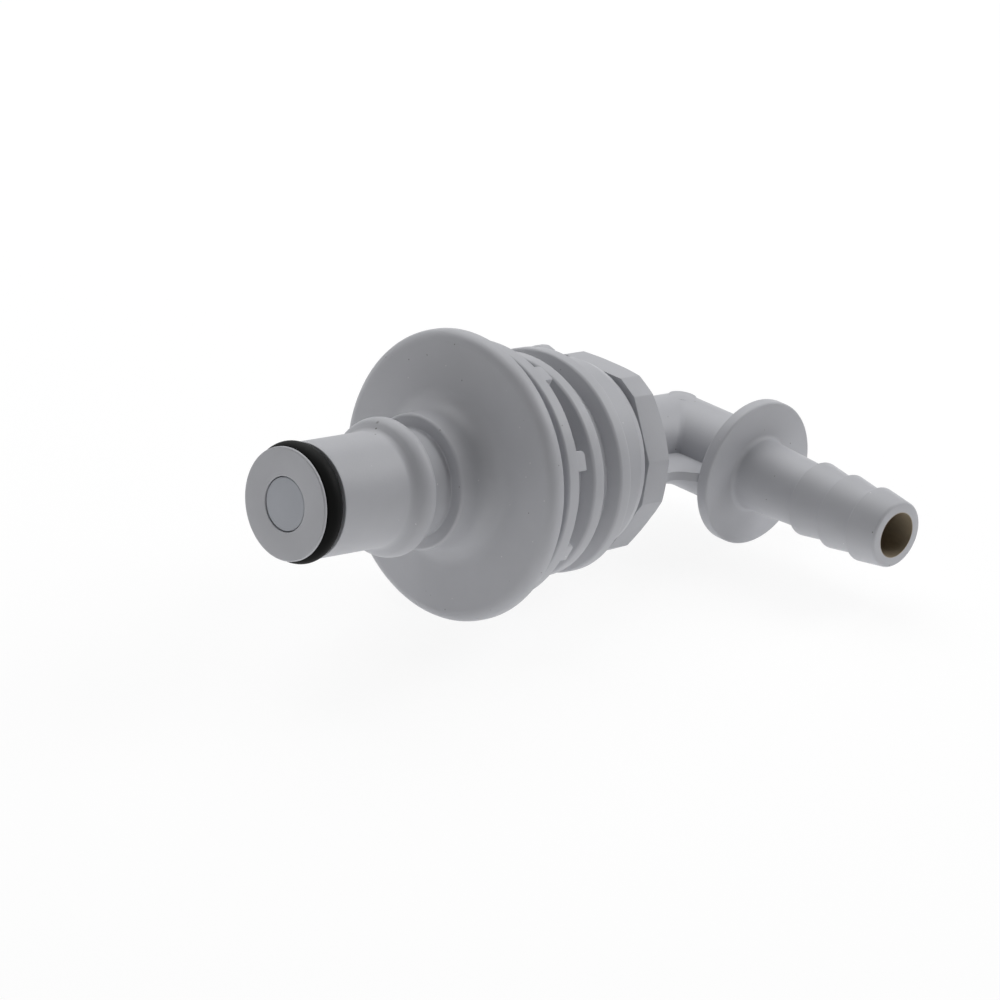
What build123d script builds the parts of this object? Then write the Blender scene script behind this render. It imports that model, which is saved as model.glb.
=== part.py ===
from build123d import *
from math import cos, radians, sin, sqrt, tan
import os

# Panel-mount quick-coupling insert with a flush-face valve and an elbow hose barb.
# Millimetres. The origin is the centre of the flange's rear face, which looks towards the panel.
# The nose points along -Y, the hose barb along +X, and +Z is up.

# Nose and barrel, reaches measured forward from the flange's rear face
nose_reach = 26.0
barrel_radius = 6.3
nose_lip_radius = 6.15
nose_edge_radius = 0.2

# O-ring behind the nose
nose_seal_section = 2.4
nose_seal_proud = 0.3
nose_seal_setback = 0.35
seal_side_gap = 0.1
seal_floor_gap = 0.03

# Latch bead, latch groove and collar
bead_reach = 11.2
bead_radius = 7.6
bead_width = 0.8
bead_front_run = 1.75
bead_back_run = 0.8
bead_round = 0.6
bead_hollow = 1.0
neck_radius = 5.9
neck_hollow = 0.5
collar_reach = 6.9
collar_radius = 7.45
collar_edge_radius = 0.12
collar_fillet = 2.6

# Flange and the toothed boss behind it
flange_radius = 16.0
flange_thickness = 1.9
flange_edge_radius = 1.3
boss_inset = 1.6
boss_length = 4.05
tooth_count = 8
tooth_width = 2.2
tooth_length = 1.7
tooth_inset = 0.5
tooth_depth = 1.3
tooth_round = 0.6

# Coarse outside thread for the panel nut
shank_length = 18.3
shank_lead_length = 1.0
shank_lead_depth = 0.35
thread_radius = 12.6
thread_root_radius = 11.1
thread_pitch = 4.2
thread_crest_width = 1.5
thread_flank_run = 0.7
thread_turns = 2.17
thread_end_land = 2.036
thread_overlap = 0.4

# Valve bore
valve_hole_radius = 3.0
valve_clearance = 0.1
barrel_bore_radius = 4.6
guide_step = 0.6
socket_radius = 8.0

# Poppet
poppet_recess = 0.1
poppet_groove_radius = 2.3
poppet_seal_section = 1.2
poppet_seal_setback = 4.1
poppet_seat_gap = 0.1
poppet_head_radius = 3.9
poppet_head_length = 1.4
poppet_stem_radius = 1.2
poppet_stem_end = 3.0
poppet_edge = 0.15

# Guide ring that carries the stem and the spring
guide_length = 1.6
guide_ring_width = 1.7
guide_clearance = 0.1
guide_hub_radius = 2.1
guide_hub_front = 2.0
guide_arm_count = 3
guide_arm_width = 1.5
stem_clearance = 0.05

# Spring
spring_wire_radius = 0.3
spring_mean_radius = 2.75
spring_turns = 9
spring_seat_gap = 0.05

# Elbow: spigot, hexagon, mitred tube, corner web
spigot_clearance = 0.05
spigot_bore_radius = 5.2
spigot_lead = 0.5
spigot_seal_section = 1.5
spigot_seal_reach = 9.0
shoulder_radius = 10.0
shoulder_length = 0.7
hex_flats = 20.5
hex_corner_trim = 22.1
hex_side_trim = 20.85
hex_length = 3.5
hex_cone_inset = 0.05
hex_cone_angle = 29.0
tube_radius = 5.0
tube_bore_radius = 3.0
elbow_reach = 34.9
pad_radius = 1.55
pad_rise = 0.04
web_thickness = 1.0
web_hollow = 1.1

# Hose barb
barb_flange_radius = 8.3
barb_flange_thickness = 1.5
barb_flange_face = 12.7
barb_flange_edge = 0.25
stem_base_radius = 4.1
stem_fillet = 0.5
barb_count = 3
barb_first = 21.35
barb_pitch = 4.22
barb_crest_radius = 4.3
barb_root_radius = 3.65
barb_crest_round = 0.12
barb_tip = 33.5
barb_tip_radius = 3.75
barb_tip_round = 0.35
barb_bore_radius = 2.57

# Places that follow from the sizes above
nose_face = -nose_reach
groove_floor = barrel_radius + nose_seal_proud - nose_seal_section - seal_floor_gap
groove_front = nose_face + nose_seal_setback
groove_back = groove_front + nose_seal_section + 2 * seal_side_gap
bead_front = -bead_reach - bead_width / 2
bead_back = -bead_reach + bead_width / 2
boss_radius = flange_radius - boss_inset
lead_front = shank_length - shank_lead_length
poppet_seal_ring = poppet_seal_section / 2
poppet_seal_radius = poppet_groove_radius + seal_floor_gap + poppet_seal_ring
poppet_seal_place = nose_face + poppet_seal_setback
seat_depth = sqrt(2) * (poppet_seal_ring + poppet_seat_gap)
seat_front = poppet_seal_place - (poppet_seal_radius - valve_hole_radius) - seat_depth
seat_back = seat_front + barrel_bore_radius - valve_hole_radius
poppet_head_front = poppet_seal_place + poppet_seal_ring + seal_side_gap
poppet_head_back = poppet_head_front + poppet_head_length
guide_back = guide_step + guide_length
guide_radius = socket_radius - guide_clearance
spigot_radius = socket_radius - spigot_clearance
spigot_seal_ring = spigot_seal_section / 2
spigot_groove_radius = socket_radius - spigot_clearance - spigot_seal_section
hex_front = shank_length + shoulder_length
hex_back = hex_front + hex_length
hex_cone_radius = hex_flats / 2 - hex_cone_inset
hex_corner_radius = hex_flats / sqrt(3)
hex_cone_depth = (hex_corner_radius - hex_cone_radius) * tan(radians(hex_cone_angle))
barb_flange_back = barb_flange_face - barb_flange_thickness
barb_axis = Axis((0, elbow_reach, 0), (1, 0, 0))


def across(y):
    """Plane square to the main axis at y, looking rearwards."""
    return Plane(origin=(0, y, 0), x_dir=(1, 0, 0), z_dir=(0, 1, 0))


# Insert body: one moulding from the nose to the end of the threaded shank
body_outline = [
    ((0, nose_face), 0),
    ((nose_lip_radius, nose_face), nose_edge_radius),
    ((nose_lip_radius, groove_front), 0),
    ((groove_floor, groove_front), 0),
    ((groove_floor, groove_back), 0),
    ((barrel_radius, groove_back), 0),
    ((barrel_radius, bead_front - bead_front_run), bead_hollow),
    ((bead_radius, bead_front), bead_round),
    ((bead_radius, bead_back), bead_round),
    ((neck_radius, bead_back + bead_back_run), neck_hollow),
    ((neck_radius, -collar_reach), 0),
    ((collar_radius, -collar_reach), collar_edge_radius),
    ((collar_radius, -flange_thickness), collar_fillet),
    ((flange_radius, -flange_thickness), flange_edge_radius),
    ((flange_radius, 0), 0),
    ((boss_radius, 0), 0),
    ((boss_radius, boss_length), 0),
    ((thread_root_radius, boss_length), 0),
    ((thread_root_radius, lead_front), 0),
    ((thread_root_radius - shank_lead_depth, shank_length), 0),
    ((0, shank_length), 0),
]

# Path of the right-hand thread, turned so that it starts on the side away from the barb
thread_rise = thread_pitch * thread_turns
thread_start = shank_length - thread_end_land - thread_rise
thread_path = Helix(thread_pitch, thread_rise, thread_root_radius, (0, thread_start, 0), (0, 1, 0))
thread_path = thread_path.rotate(Axis.Y, -90)
ridge_height = thread_radius - thread_root_radius
ridge_foot = thread_crest_width / 2 + thread_flank_run

with BuildPart() as insert_body:
    with BuildSketch(Plane.XY):
        with BuildLine():
            FilletPolyline(
                [point for point, radius in body_outline],
                radius=[radius for point, radius in body_outline],
                close=True,
            )
        make_face()
    revolve(axis=Axis.Y)

    # Square teeth on the boss, rounded on one side, that bite into the panel
    for tooth in range(tooth_count):
        angle = radians(360 / tooth_count * (tooth + 0.5))
        outward = Vector(cos(angle), 0, sin(angle))
        along = Vector(-sin(angle), 0, cos(angle))
        foot = outward * (boss_radius - tooth_inset - tooth_depth) + Vector(0, boss_length, 0)
        with BuildSketch(Plane(origin=foot, x_dir=along, z_dir=outward)):
            with BuildLine():
                FilletPolyline(
                    (-tooth_width / 2, tooth_length),
                    (-tooth_width / 2, -tooth_length),
                    (tooth_width / 2, -tooth_length),
                    (tooth_width / 2, tooth_length),
                    radius=[0, 0, tooth_round, 0],
                    close=True,
                )
            make_face()
        extrude(amount=tooth_depth)

    # Helical ridge of the thread, its foot sunk a little into the shank
    with BuildSketch(Plane(origin=thread_path @ 0, x_dir=(-1, 0, 0), z_dir=thread_path % 0)):
        with BuildLine():
            Polyline(
                (-thread_overlap, -ridge_foot),
                (0, -ridge_foot),
                (ridge_height, -thread_crest_width / 2),
                (ridge_height, thread_crest_width / 2),
                (0, ridge_foot),
                (-thread_overlap, ridge_foot),
                close=True,
            )
        make_face()
    sweep(path=thread_path, is_frenet=True)

    # Valve hole, conical seat, barrel bore and the socket for the spigot
    with BuildSketch(Plane.XY):
        with BuildLine():
            Polyline(
                (0, nose_face),
                (valve_hole_radius, nose_face),
                (valve_hole_radius, seat_front),
                (barrel_bore_radius, seat_back),
                (barrel_bore_radius, guide_step),
                (socket_radius, guide_step),
                (socket_radius, shank_length),
                (0, shank_length),
                close=True,
            )
        make_face()
    revolve(axis=Axis.Y, mode=Mode.SUBTRACT)
insert_body.part.label = "insert_body"

# O-ring in the groove behind the nose
nose_seal_radius = groove_floor + seal_floor_gap + nose_seal_section / 2
with BuildPart(across((groove_front + groove_back) / 2)) as nose_seal:
    Torus(nose_seal_radius, nose_seal_section / 2)
nose_seal.part.label = "nose_seal"

# Poppet: flush face, seal groove, head and stem
with BuildPart() as valve_poppet:
    with BuildSketch(Plane.XY):
        pin_radius = valve_hole_radius - valve_clearance
        poppet_groove_front = poppet_seal_place - poppet_seal_ring - seal_side_gap
        with BuildLine():
            FilletPolyline(
                (0, nose_face + poppet_recess),
                (pin_radius, nose_face + poppet_recess),
                (pin_radius, poppet_groove_front),
                (poppet_groove_radius, poppet_groove_front),
                (poppet_groove_radius, poppet_head_front),
                (poppet_head_radius, poppet_head_front),
                (poppet_head_radius, poppet_head_back),
                (poppet_stem_radius, poppet_head_back),
                (poppet_stem_radius, poppet_stem_end),
                (0, poppet_stem_end),
                radius=[0, poppet_edge, 0, 0, 0, poppet_edge, poppet_edge, 0, poppet_edge, 0],
                close=True,
            )
        make_face()
    revolve(axis=Axis.Y)
valve_poppet.part.label = "valve_poppet"

# O-ring in the poppet's groove, just clear of the conical seat
with BuildPart(across(poppet_seal_place)) as valve_seal:
    Torus(poppet_seal_radius, poppet_seal_ring)
valve_seal.part.label = "valve_seal"

# Guide: a ring on the socket's step, three arms and a hub for the stem
with BuildPart() as valve_guide:
    with BuildSketch(across(guide_step)):
        Circle(guide_radius)
        Circle(guide_radius - guide_ring_width, mode=Mode.SUBTRACT)
        arm_length = guide_radius - guide_ring_width / 2
        with PolarLocations(arm_length / 2, guide_arm_count, start_angle=90):
            Rectangle(arm_length, guide_arm_width)
    extrude(amount=guide_length)
    with BuildSketch(across(guide_step - guide_hub_front)):
        Circle(guide_hub_radius)
    extrude(amount=guide_hub_front + guide_length)
    with BuildSketch(across(guide_step - guide_hub_front)):
        Circle(poppet_stem_radius + stem_clearance)
    extrude(amount=guide_hub_front + guide_length, mode=Mode.SUBTRACT)
valve_guide.part.label = "valve_guide"

# Spring between the poppet's head and the guide's arms
spring_front = poppet_head_back + spring_wire_radius + spring_seat_gap
spring_length = guide_step - spring_wire_radius - spring_seat_gap - spring_front
spring_pitch = spring_length / spring_turns
with BuildPart() as valve_spring:
    with BuildLine() as spring_path:
        Helix(spring_pitch, spring_length, spring_mean_radius, (0, spring_front, 0), (0, 1, 0))
    with BuildSketch(Plane(origin=spring_path.line @ 0, z_dir=spring_path.line % 0)):
        Circle(spring_wire_radius)
    sweep(path=spring_path.line, is_frenet=True)
valve_spring.part.label = "valve_spring"

# Elbow: spigot, hexagon, mitred tube, web, hose flange and barb in one moulding
spigot_outline = [
    (0, guide_back),
    (spigot_radius - spigot_lead, guide_back),
    (spigot_radius, guide_back + spigot_lead),
    (spigot_radius, spigot_seal_reach - spigot_seal_ring - seal_side_gap),
    (spigot_groove_radius, spigot_seal_reach - spigot_seal_ring - seal_side_gap),
    (spigot_groove_radius, spigot_seal_reach + spigot_seal_ring + seal_side_gap),
    (spigot_radius, spigot_seal_reach + spigot_seal_ring + seal_side_gap),
    (spigot_radius, shank_length),
    (shoulder_radius, shank_length),
    (shoulder_radius, hex_front),
    (0, hex_front),
]

barb_outline = [
    ((barb_flange_back, 0), 0),
    ((barb_flange_back, barb_flange_radius), barb_flange_edge),
    ((barb_flange_face, barb_flange_radius), barb_flange_edge),
    ((barb_flange_face, stem_base_radius), stem_fillet),
]
for ridge in range(barb_count):
    ridge_place = barb_first + ridge * barb_pitch
    barb_outline.append(((ridge_place, barb_root_radius), 0))
    barb_outline.append(((ridge_place, barb_crest_radius), barb_crest_round))
barb_outline.append(((barb_tip, barb_tip_radius), barb_tip_round))
barb_outline.append(((barb_tip, 0), 0))

with BuildPart() as elbow_barb:
    # Trimmed hexagon, its back turned to a cone as on a nut
    with BuildSketch(across(hex_front)):
        RegularPolygon(hex_flats / 2, 6, major_radius=False)
        RegularPolygon(hex_corner_trim / 2, 6, major_radius=False, rotation=30, mode=Mode.INTERSECT)
        Rectangle(hex_side_trim, 2 * hex_flats, mode=Mode.INTERSECT)
    extrude(amount=hex_length)
    with BuildSketch(Plane.XY):
        with BuildLine():
            Polyline(
                (hex_cone_radius, hex_back),
                (hex_corner_radius, hex_back - hex_cone_depth),
                (hex_corner_radius, hex_back),
                close=True,
            )
        make_face()
    revolve(axis=Axis.Y, mode=Mode.SUBTRACT)

    with BuildSketch(Plane.XY):
        with BuildLine():
            Polyline(spigot_outline, close=True)
        make_face()
    revolve(axis=Axis.Y)

    # Tube with a mitred corner, and the small round pad on top of the corner
    with BuildLine() as tube_path:
        Polyline((0, hex_front, 0), (0, elbow_reach, 0), (barb_flange_back, elbow_reach, 0))
    with BuildSketch(across(hex_front)):
        Circle(tube_radius)
    sweep(path=tube_path.line, transition=Transition.RIGHT)
    with BuildSketch(Plane.XY.offset(tube_bore_radius)):
        with Locations((0, elbow_reach)):
            Circle(pad_radius)
    extrude(amount=tube_radius + pad_rise - tube_bore_radius)

    # Web in the plane of both axes, with a hollow free edge
    with BuildSketch(Plane.XY.offset(-web_thickness / 2)):
        with BuildLine():
            web_foot = (hex_cone_radius, hex_back)
            web_head = (barb_flange_back, elbow_reach - barb_flange_radius + barb_flange_edge)
            web_middle = ((web_foot[0] + web_head[0]) / 2 - web_hollow, (web_foot[1] + web_head[1]) / 2)
            Polyline(web_head, (barb_flange_back, elbow_reach), (0, elbow_reach), (0, hex_back), web_foot)
            ThreePointArc(web_foot, web_middle, web_head)
        make_face()
    extrude(amount=web_thickness)

    with BuildSketch(Plane.XY.move(Location((0, elbow_reach, 0)))):
        with BuildLine():
            FilletPolyline(
                [point for point, radius in barb_outline],
                radius=[radius for point, radius in barb_outline],
                close=True,
            )
        make_face()
    revolve(axis=barb_axis)

    # Waterway: spigot bore, cone, tube bore with a round end, and the barb's bore
    with BuildSketch(Plane.XY):
        with BuildLine():
            cone_back = hex_back
            cone_front = cone_back - (spigot_bore_radius - tube_bore_radius)
            Polyline(
                (0, elbow_reach + tube_bore_radius),
                (0, guide_back),
                (spigot_bore_radius, guide_back),
                (spigot_bore_radius, cone_front),
                (tube_bore_radius, cone_back),
                (tube_bore_radius, elbow_reach),
            )
            RadiusArc((tube_bore_radius, elbow_reach), (0, elbow_reach + tube_bore_radius), -tube_bore_radius)
        make_face()
    revolve(axis=Axis.Y, mode=Mode.SUBTRACT)
    with BuildSketch(Plane.YZ):
        with Locations((elbow_reach, 0)):
            Circle(barb_bore_radius)
    extrude(amount=barb_tip, mode=Mode.SUBTRACT)
elbow_barb.part.label = "elbow_barb"

# O-ring on the spigot
spigot_seal_radius = spigot_groove_radius + seal_floor_gap + spigot_seal_ring
with BuildPart(across(spigot_seal_reach)) as elbow_seal:
    Torus(spigot_seal_radius, spigot_seal_ring)
elbow_seal.part.label = "elbow_seal"

os.makedirs("parts", exist_ok=True)
export_step(insert_body.part, "parts/insert_body.step")
export_step(nose_seal.part, "parts/nose_seal.step")
export_step(valve_poppet.part, "parts/valve_poppet.step")
export_step(valve_seal.part, "parts/valve_seal.step")
export_step(valve_guide.part, "parts/valve_guide.step")
export_step(valve_spring.part, "parts/valve_spring.step")
export_step(elbow_barb.part, "parts/elbow_barb.step")
export_step(elbow_seal.part, "parts/elbow_seal.step")
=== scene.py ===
# %% [markdown]
# # A panel-mount hose coupling insert
#
# This lesson dresses a small plastic plumbing fitting: a nose with a flush valve, a latch bead, a big
# round flange, a coarse thread, a trimmed hexagon and an elbow that ends in a hose barb. The engineering
# model comes in first as a fixed frame, and every finer piece made here lies exactly on it.

# %% Load the engineering model
import bpy
import math
from mathutils import Matrix, Vector


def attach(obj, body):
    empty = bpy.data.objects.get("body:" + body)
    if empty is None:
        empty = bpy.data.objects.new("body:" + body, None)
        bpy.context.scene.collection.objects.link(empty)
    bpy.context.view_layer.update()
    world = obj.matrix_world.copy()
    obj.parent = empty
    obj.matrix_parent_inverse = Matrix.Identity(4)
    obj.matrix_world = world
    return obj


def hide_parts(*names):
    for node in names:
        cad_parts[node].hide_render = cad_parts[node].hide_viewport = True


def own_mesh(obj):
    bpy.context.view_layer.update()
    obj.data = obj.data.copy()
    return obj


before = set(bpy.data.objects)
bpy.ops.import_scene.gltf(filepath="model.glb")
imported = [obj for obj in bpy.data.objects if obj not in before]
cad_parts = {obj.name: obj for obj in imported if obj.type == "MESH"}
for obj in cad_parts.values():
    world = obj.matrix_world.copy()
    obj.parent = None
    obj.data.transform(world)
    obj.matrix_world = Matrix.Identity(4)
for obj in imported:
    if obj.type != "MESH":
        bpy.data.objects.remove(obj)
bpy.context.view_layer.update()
MM = 0.001
print("nodes:", sorted(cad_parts))

# %% [markdown]
# ## Turning a profile, as on a lathe
#
# Nearly everything on this fitting is round, so the main tool is a half profile that is spun about an
# axis. A profile could be a curve with a Screw modifier. Here one vertex is extruded from corner to
# corner, each corner is rounded with a vertex bevel, and Spin closes the shape, because that is how it
# would be drawn by hand and every radius stays a plain number.

# %% Profile tools
ROUND_STEPS = 6
FINE_STEPS, PLAIN_STEPS = 192, 96
TINY, SEAM = 1e-6, 1e-7


def new_vertex(name, place):
    """A new object with one vertex at place, left in edit mode."""
    bpy.ops.object.select_all(action="DESELECT")
    bpy.ops.mesh.primitive_plane_add(size=MM)
    piece = bpy.context.object
    piece.name = name
    piece.data.name = name
    bpy.ops.object.mode_set(mode="EDIT")
    bpy.ops.mesh.select_mode(type="VERT")
    bpy.ops.mesh.merge(type="CENTER")
    bpy.ops.transform.translate(value=place)
    return piece


def select_near(piece, places, reach=TINY):
    """In edit mode, select only the vertices that lie at one of the places."""
    bpy.ops.mesh.select_mode(type="VERT")
    bpy.ops.mesh.select_all(action="DESELECT")
    bpy.ops.object.mode_set(mode="OBJECT")
    for vertex in piece.data.vertices:
        vertex.select = any((vertex.co - Vector(place)).length < reach for place in places)
    bpy.ops.object.mode_set(mode="EDIT")


def draw_profile(name, corners, closed):
    """Extrude a line through corners (x, y, radius) given in mm, and round each corner to its radius."""
    points = [Vector((x, y, 0)) * MM for x, y, radius in corners]
    piece = new_vertex(name, points[0])
    for here, there in zip(points, points[1:]):
        bpy.ops.mesh.extrude_vertices_move(TRANSFORM_OT_translate={"value": there - here})
    if closed:
        select_near(piece, [points[0], points[-1]])
        bpy.ops.mesh.edge_face_add()
    for index, (x, y, radius) in enumerate(corners):
        if radius == 0:
            continue
        before = points[index] - points[index - 1]
        after = points[(index + 1) % len(points)] - points[index]
        setback = radius * MM * math.tan(before.angle(after) / 2)
        select_near(piece, [points[index]])
        bpy.ops.mesh.bevel(offset=setback, segments=ROUND_STEPS, affect="VERTICES", profile=0.5)
    return piece


def lathe(piece, steps, centre=(0, 0, 0), axis=(0, 1, 0)):
    """Spin the drawn profile once round the axis and close the seam."""
    bpy.ops.mesh.select_all(action="SELECT")
    bpy.ops.mesh.spin(steps=steps, angle=math.tau, center=centre, axis=axis)
    bpy.ops.mesh.select_all(action="SELECT")
    bpy.ops.mesh.remove_doubles(threshold=SEAM)
    bpy.ops.mesh.normals_make_consistent(inside=False)
    bpy.ops.object.mode_set(mode="OBJECT")
    print(piece.name, len(piece.data.polygons), "faces")
    return piece


def apply_modifiers(piece):
    """Apply every modifier on a piece, from the top down."""
    bpy.ops.object.select_all(action="DESELECT")
    bpy.context.view_layer.objects.active = piece
    piece.select_set(True)
    for modifier in list(piece.modifiers):
        bpy.ops.object.modifier_apply(modifier=modifier.name)


def combine(piece, other, operation):
    """Join another closed shape to a piece, or cut it away, and drop that shape."""
    boolean = piece.modifiers.new(operation.lower(), "BOOLEAN")
    boolean.operation = operation
    boolean.solver = "EXACT"
    boolean.object = other
    apply_modifiers(piece)
    bpy.data.objects.remove(other)


print("lathe steps:", FINE_STEPS, "or", PLAIN_STEPS)

# %% [markdown]
# ## The insert body
#
# One moulding runs from the nose to the end of the threaded shank. Its outline holds the groove for the
# O-ring, the soft bead that the latch snaps over, the collar, the flange with its rounded front edge, and
# the boss, with a shallow groove that parts it from the flange. A bore could be cut out later. Here it is
# part of the same closed outline, so the spun shape is a true hollow body.

# %% Turn the body
SOFT = 0.12
NOSE_Y, LIP_R, BARREL_R = -26.0, 6.15, 6.3
GROOVE_R, GROOVE_FRONT_Y, GROOVE_BACK_Y = 4.17, -25.65, -23.05
BEAD_R, BEAD_FRONT_Y, BEAD_BACK_Y = 7.6, -11.6, -10.8
RAMP_Y, CREST_Y, FALL_Y = BEAD_FRONT_Y - 1.6, BEAD_FRONT_Y - 0.5, BEAD_BACK_Y + 0.8
NECK_R, COLLAR_R, COLLAR_Y = 5.9, 7.45, -6.9
FLANGE_R, FLANGE_Y = 16.0, -1.9
BOSS_R, BOSS_END_Y = 14.4, 4.05
PARTING_R, PARTING_END_Y = 13.4, 2.4
SHANK_R, LEAD_Y, LEAD_DEPTH, SHANK_END_Y = 11.1, 17.3, 0.35, 18.3
VALVE_HOLE_R, SEAT_FRONT_Y = 3.0, -22.82
BORE_R, SOCKET_R, SOCKET_Y = 4.6, 8.0, 0.6
BODY_OUTLINE = [
    (VALVE_HOLE_R, NOSE_Y, 0.1), (LIP_R, NOSE_Y, 0.2), (LIP_R, GROOVE_FRONT_Y, 0.06),
    (GROOVE_R, GROOVE_FRONT_Y, 0.1), (GROOVE_R, GROOVE_BACK_Y, 0.1), (BARREL_R, GROOVE_BACK_Y, 0.1),
    (BARREL_R, RAMP_Y, 1.1), (BEAD_R, CREST_Y, 1.5), (BEAD_R, BEAD_BACK_Y, 0.6),
    (NECK_R, FALL_Y, 0.5), (NECK_R, COLLAR_Y, 0.2), (COLLAR_R, COLLAR_Y, 0.35),
    (COLLAR_R, FLANGE_Y, 2.6), (FLANGE_R, FLANGE_Y, 1.3), (FLANGE_R, 0.0, SOFT), (PARTING_R, 0.0, 0.3),
    (PARTING_R, PARTING_END_Y, 0.3), (BOSS_R, PARTING_END_Y, 0.35), (BOSS_R, BOSS_END_Y, 0.15),
    (SHANK_R, BOSS_END_Y, 0.3), (SHANK_R, LEAD_Y, SOFT), (SHANK_R - LEAD_DEPTH, SHANK_END_Y, SOFT),
    (SOCKET_R, SHANK_END_Y, 0.2), (SOCKET_R, SOCKET_Y, 0.1), (BORE_R, SOCKET_Y, 0.1),
    (BORE_R, SEAT_FRONT_Y + BORE_R - VALVE_HOLE_R, 0.1), (VALVE_HOLE_R, SEAT_FRONT_Y, 0.1),
]
body = lathe(draw_profile("insert_moulding", BODY_OUTLINE, closed=True), FINE_STEPS)

# %% [markdown]
# ## The coarse thread
#
# The nut's thread is a broad rounded ridge that climbs to the right, a little over two turns long. A Screw
# modifier sweeps the ridge's section round and along the axis at once. Its foot is sunk into the shank,
# so that the union with the body leaves one clean skin. Its last few millimetres sink away into the shank.

# %% Sweep the ridge
THREAD_R, THREAD_PITCH, THREAD_TURNS, THREAD_START_Y = 12.6, 4.2, 2.172, 7.15
CREST_HALF, FOOT_HALF, FOOT_R = 0.75, 1.45, SHANK_R - 0.4
RUN_OUT = [(0.8, 0.2), (0.7, 0.6), (0.8, 1.4)]
RIDGE = [
    (FOOT_R, -FOOT_HALF, 0), (SHANK_R, -FOOT_HALF, 0.25), (THREAD_R, -CREST_HALF, 0.45),
    (THREAD_R, CREST_HALF, 0.3), (SHANK_R, FOOT_HALF, 0.25), (FOOT_R, FOOT_HALF, 0),
]
ridge = draw_profile("thread_ridge", RIDGE, closed=True)
bpy.ops.mesh.select_all(action="SELECT")
bpy.ops.transform.rotate(value=math.pi, orient_axis="Y", center_override=(0, 0, 0))
bpy.ops.transform.translate(value=(0, THREAD_START_Y * MM, 0))
bpy.ops.object.mode_set(mode="OBJECT")
screw = ridge.modifiers.new("sweep", "SCREW")
screw.axis = "Y"
screw.angle = math.tau * THREAD_TURNS
screw.screw_offset = THREAD_PITCH * THREAD_TURNS * MM
screw.steps = int(FINE_STEPS * THREAD_TURNS)
screw.render_steps = screw.steps
apply_modifiers(ridge)
bpy.ops.object.mode_set(mode="EDIT")
bpy.ops.mesh.select_all(action="SELECT")
bpy.ops.mesh.fill_holes(sides=0)
bpy.ops.mesh.normals_make_consistent(inside=False)
bpy.ops.object.mode_set(mode="OBJECT")
print("ridge turns:", THREAD_TURNS)

# %% Run the ridge out into the shank
END_WIDTH, END_FLAT = 1.5, 0.01
end_angle = math.pi - math.tau * THREAD_TURNS
outward = Vector((math.cos(end_angle), 0, math.sin(end_angle)))
onward = Vector((outward.z, 0, -outward.x))
end_y = THREAD_START_Y + THREAD_PITCH * THREAD_TURNS
bpy.ops.object.mode_set(mode="EDIT")
bpy.ops.mesh.select_mode(type="VERT")
bpy.ops.mesh.select_all(action="DESELECT")
bpy.ops.object.mode_set(mode="OBJECT")
for vertex in ridge.data.vertices:
    near_end = abs(vertex.co.y - end_y * MM) < END_WIDTH * MM
    on_end = abs(vertex.co.dot(onward)) < END_FLAT * MM and vertex.co.dot(outward) > 0
    vertex.select = near_end and on_end
bpy.ops.object.mode_set(mode="EDIT")
for run, sink in RUN_OUT:
    step = (onward * run - outward * sink) * MM
    bpy.ops.mesh.extrude_region_move(TRANSFORM_OT_translate={"value": step})
bpy.ops.mesh.select_all(action="SELECT")
bpy.ops.mesh.normals_make_consistent(inside=False)
bpy.ops.object.mode_set(mode="OBJECT")
print("ridge box", [tuple(round(v / MM, 2) for v in corner) for corner in ridge.bound_box][::6])
combine(body, ridge, "UNION")

# %% [markdown]
# ## The teeth on the boss
#
# Eight small teeth stand on the back of the boss and bite into the panel, so that the fitting can't turn
# while its nut is tightened. Each is a block with one corner rounded off and all its edges eased. An Array
# modifier could repeat it, but each tooth is united with the boss, so one function makes it at its angle.

# %% Model one tooth and copy it round
TOOTH_WIDTH, TOOTH_LENGTH, TOOTH_DEPTH, TOOTH_INSET = 2.2, 1.7, 1.3, 0.5
TOOTH_COUNT, TOOTH_FOOT = 8, 0.5
TOOTH_ROUND, TOOTH_EASE, TOOTH_SHARP = 0.6, 0.1, math.radians(40)


def model_tooth(angle):
    """A tooth at the given angle round the axis, its foot sunk into the boss."""
    bpy.ops.object.select_all(action="DESELECT")
    length = TOOTH_LENGTH + TOOTH_FOOT
    outside = BOSS_R - TOOTH_INSET
    centre = (outside - TOOTH_DEPTH / 2, BOSS_END_Y + TOOTH_LENGTH - length / 2, 0)
    bpy.ops.mesh.primitive_cube_add(size=1)
    tooth = bpy.context.object
    tooth.name = "tooth"
    bpy.ops.object.mode_set(mode="EDIT")
    bpy.ops.transform.resize(value=(TOOTH_DEPTH * MM, length * MM, TOOTH_WIDTH * MM))
    bpy.ops.transform.translate(value=[value * MM for value in centre])
    back = (BOSS_END_Y + TOOTH_LENGTH) * MM
    side = TOOTH_WIDTH / 2 * MM
    select_near(tooth, [(x * MM, back, side) for x in (outside - TOOTH_DEPTH, outside)], reach=1e-5)
    bpy.ops.mesh.bevel(offset=TOOTH_ROUND * MM, segments=5, affect="EDGES")
    bpy.ops.mesh.select_all(action="SELECT")
    bpy.ops.mesh.edges_select_sharp(sharpness=TOOTH_SHARP)
    bpy.ops.mesh.bevel(offset=TOOTH_EASE * MM, segments=2, affect="EDGES")
    bpy.ops.mesh.select_all(action="SELECT")
    bpy.ops.transform.rotate(value=angle, orient_axis="Y", center_override=(0, 0, 0))
    bpy.ops.object.mode_set(mode="OBJECT")
    return tooth


for number in range(TOOTH_COUNT):
    combine(body, model_tooth(math.tau * (number + 0.5) / TOOTH_COUNT), "UNION")
print("insert_moulding with teeth:", len(body.data.polygons), "faces")

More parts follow.
